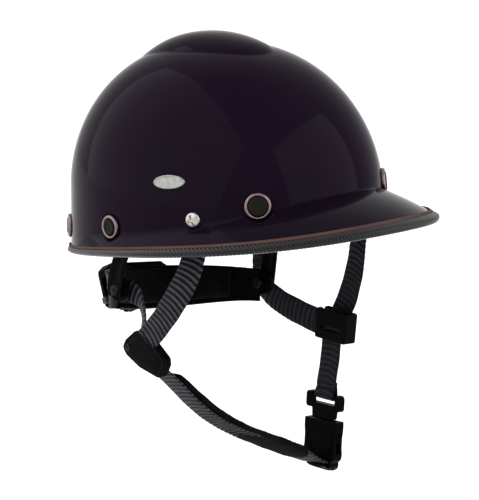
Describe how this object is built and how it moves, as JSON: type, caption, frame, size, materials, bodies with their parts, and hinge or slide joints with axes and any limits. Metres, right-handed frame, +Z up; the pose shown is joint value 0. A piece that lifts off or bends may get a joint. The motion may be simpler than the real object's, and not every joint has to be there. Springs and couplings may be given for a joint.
{
  "type": "rescue helmet",
  "caption": "Full-brim firefighter rescue helmet with raised comb, edge bead, webbing suspension, ratchet nape cradle and a Y chin strap with side-release buckle.",
  "frame": {"origin": "on the head axis, level with the middle of the rim", "axes": "+X to the wearer's front, +Y to the wearer's left, +Z up"},
  "size_m": [0.3065, 0.2292, 0.3347],
  "materials": {
    "shell_gloss": "high gloss near-black composite shell",
    "bead_rubber": "finely ribbed black rubber",
    "piping": "dull pinkish grey reflective piping",
    "badge_metal": "satin grey blank plate",
    "ring_metal": "dark nickel",
    "cap_plastic": "glossy black",
    "steel": "zinc plated",
    "black_plastic": "fine-grained black nylon",
    "rack_plastic": "smooth dark grey acetal",
    "foam": "dark expanded foam",
    "webbing": "black ribbed polyester webbing",
    "pad_fabric": "black brushed knit over foam",
    "brow_leather": "black perforated leather",
    "buckle_plastic": "semi-gloss black acetal"
  },
  "bodies": {
    "helmet": {"shell": "shell_gloss", "rim_bead": "bead_rubber", "rim_piping": "piping", "side_badges": "badge_metal", "front_ring_rivets": "ring_metal", "front_rivet_caps": "cap_plastic", "rear_ring_rivets": "ring_metal", "rear_rivet_caps": "cap_plastic", "rivet_washers": "steel", "anchor_screws": "steel", "strap_anchors": "black_plastic", "impact_liner": "foam", "crown_webbing": "webbing", "crown_pad": "pad_fabric", "headband": "black_plastic", "brow_pad": "brow_leather", "hanger_clips": "black_plastic", "side_arms": "black_plastic", "cradle_pins": "steel", "right_front_strap": "webbing", "right_rear_strap": "webbing", "right_junction": "black_plastic", "junction_rivet": "steel", "left_front_strap": "webbing", "left_rear_strap": "webbing", "buckle_socket": "buckle_plastic", "chin_strap": "webbing", "chin_pad": "pad_fabric"},
    "cradle": {"nape_cradle": "black_plastic", "nape_pad": "pad_fabric", "ratchet_housing": "black_plastic", "ratchet_cover": "black_plastic"},
    "knob": {"ratchet_knob": "black_plastic", "ratchet_pinion": "rack_plastic", "knob_screw": "steel"},
    "rack_left": {"left_rack": "rack_plastic"},
    "rack_right": {"right_rack": "rack_plastic"},
    "slider": {"left_slider": "black_plastic"},
    "prong_front": {"front_prong": "buckle_plastic"},
    "prong_rear": {"rear_prong": "buckle_plastic"},
    "plug": {"left_lower_strap": "webbing", "buckle_plug": "buckle_plastic"}
  },
  "joints": [
    {"name": "cradle_tilt", "type": "hinge", "parent": "helmet", "child": "cradle", "pos_m": [-0.043, 0, -0.05], "axis": [0, 0.9925, -0.1219], "range_deg": [-8, 6]},
    {"name": "knob_turn", "type": "hinge", "parent": "cradle", "child": "knob", "pos_m": [-0.10099, -0.00138, -0.06124], "axis": [-0.9063, -0.0515, -0.4195], "range_deg": [-90, 90]},
    {"name": "left_rack_slide", "type": "slide", "parent": "cradle", "child": "rack_left", "axis": [0, 0.9925, -0.1219], "range_m": [-0.012, 0.012]},
    {"name": "right_rack_slide", "type": "slide", "parent": "cradle", "child": "rack_right", "axis": [0, 0.9925, -0.1219], "range_m": [-0.012, 0.012]},
    {"name": "slider_slide", "type": "slide", "parent": "helmet", "child": "slider", "axis": [0, -0.0698, -0.9976], "range_m": [0, 0.01]},
    {"name": "buckle_release", "type": "slide", "parent": "helmet", "child": "plug", "axis": [0, 0.0698, 0.9976], "range_m": [0, 0.024], "deforming": ["front_prong", "rear_prong"]},
    {"name": "front_prong_squeeze", "type": "hinge", "parent": "plug", "child": "prong_front", "pos_m": [0.026, 0.07804, -0.15577], "axis": [0, 0.9976, -0.0698], "range_deg": [0, 6], "stiffness_Nm_per_rad": 0.3},
    {"name": "rear_prong_squeeze", "type": "hinge", "parent": "plug", "child": "prong_rear", "pos_m": [0.009, 0.07804, -0.15577], "axis": [0, -0.9976, 0.0698], "range_deg": [0, 6], "stiffness_Nm_per_rad": 0.3}
  ],
  "couplings": [
    {"joint": "left_rack_slide", "follows": "knob_turn", "m_per_rad": 0.006},
    {"joint": "right_rack_slide", "follows": "knob_turn", "m_per_rad": -0.006},
    {"joint": "rear_prong_squeeze", "follows": "front_prong_squeeze", "ratio": 1}
  ]
}
